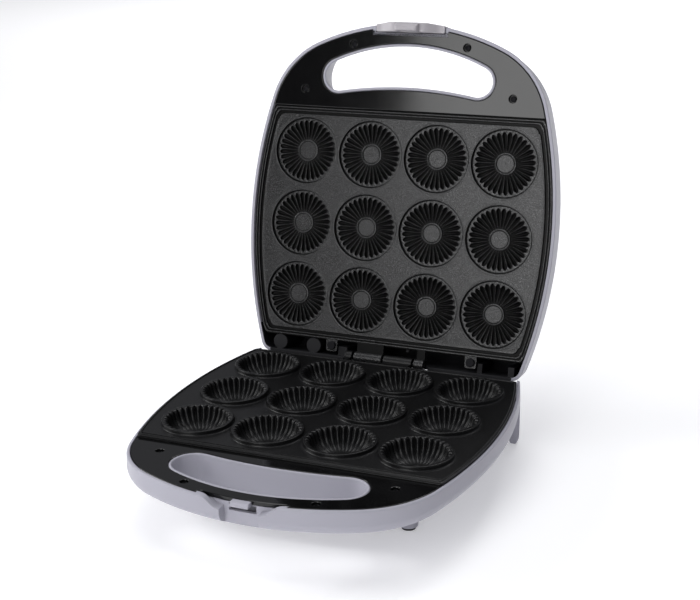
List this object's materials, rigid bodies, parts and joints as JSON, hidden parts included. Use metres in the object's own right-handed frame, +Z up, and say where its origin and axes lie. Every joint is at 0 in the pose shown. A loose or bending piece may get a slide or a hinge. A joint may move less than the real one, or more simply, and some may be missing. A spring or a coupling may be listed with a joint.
{
  "type": "cake and pie maker",
  "caption": "Countertop cake and pie maker standing open, with fluted cups in the lower plate, rosettes in the lid, carrying handles in both halves and a latch",
  "frame": {"origin": "under the middle of the open object's box, on the surface that the feet stand on", "axes": "+Z up, -Y towards the handles and the user, +Y towards the hinge, +X to the user's right"},
  "size_m": [0.2396, 0.3386, 0.2978],
  "materials": {
    "white_shell": "satin white moulded plastic",
    "black_cover": "polished black moulded plastic",
    "nonstick_plate": "cast aluminium under a dark speckled non-stick coating",
    "element_steel": "sheathed heating tube",
    "shield_sheet": "bright plated sheet",
    "thermostat_body": "glazed ceramic body",
    "foot_rubber": "matt black rubber",
    "screw_steel": "zinc plated steel",
    "latch_plastic": "light warm grey moulded plastic",
    "amber_lens": "clear tinted lens",
    "green_lens": "clear tinted lens"
  },
  "bodies": {
    "base": {"base_housing": "white_shell", "base_handle_cover": "black_cover", "base_baking_plate": "nonstick_plate", "base_heating_element": "element_steel", "base_heat_shield": "shield_sheet", "base_thermostat": "thermostat_body", "foot_pad_left": "foot_rubber", "foot_pad_right": "foot_rubber", "cord_gland": "foot_rubber", "hinge_pin": "screw_steel", "base_cover_screw_1": "screw_steel", "base_cover_screw_2": "screw_steel", "base_cover_screw_3": "screw_steel", "base_cover_screw_4": "screw_steel"},
    "lid": {"lid_housing": "white_shell", "lid_handle_cover": "black_cover", "lid_baking_plate": "nonstick_plate", "lid_heating_element": "element_steel", "lid_heat_shield": "shield_sheet", "lid_thermostat": "thermostat_body", "power_lens": "amber_lens", "ready_lens": "green_lens", "latch_pin": "screw_steel", "lid_cover_screw_1": "screw_steel", "lid_cover_screw_2": "screw_steel", "lid_cover_screw_3": "screw_steel", "lid_cover_screw_4": "screw_steel", "lid_lug_screw_1": "screw_steel", "lid_lug_screw_2": "screw_steel"},
    "latch": {"latch": "latch_plastic"}
  },
  "joints": [
    {"name": "lid_hinge", "type": "hinge", "parent": "base", "child": "lid", "pos_m": [0, 0.08045, 0.0504], "axis": [1, 0, 0], "range_deg": [0, 103]},
    {"name": "latch_pivot", "type": "hinge", "parent": "lid", "child": "latch", "pos_m": [0, 0.14804, 0.28758], "axis": [-1, 0, 0], "range_deg": [0, 35]}
  ]
}
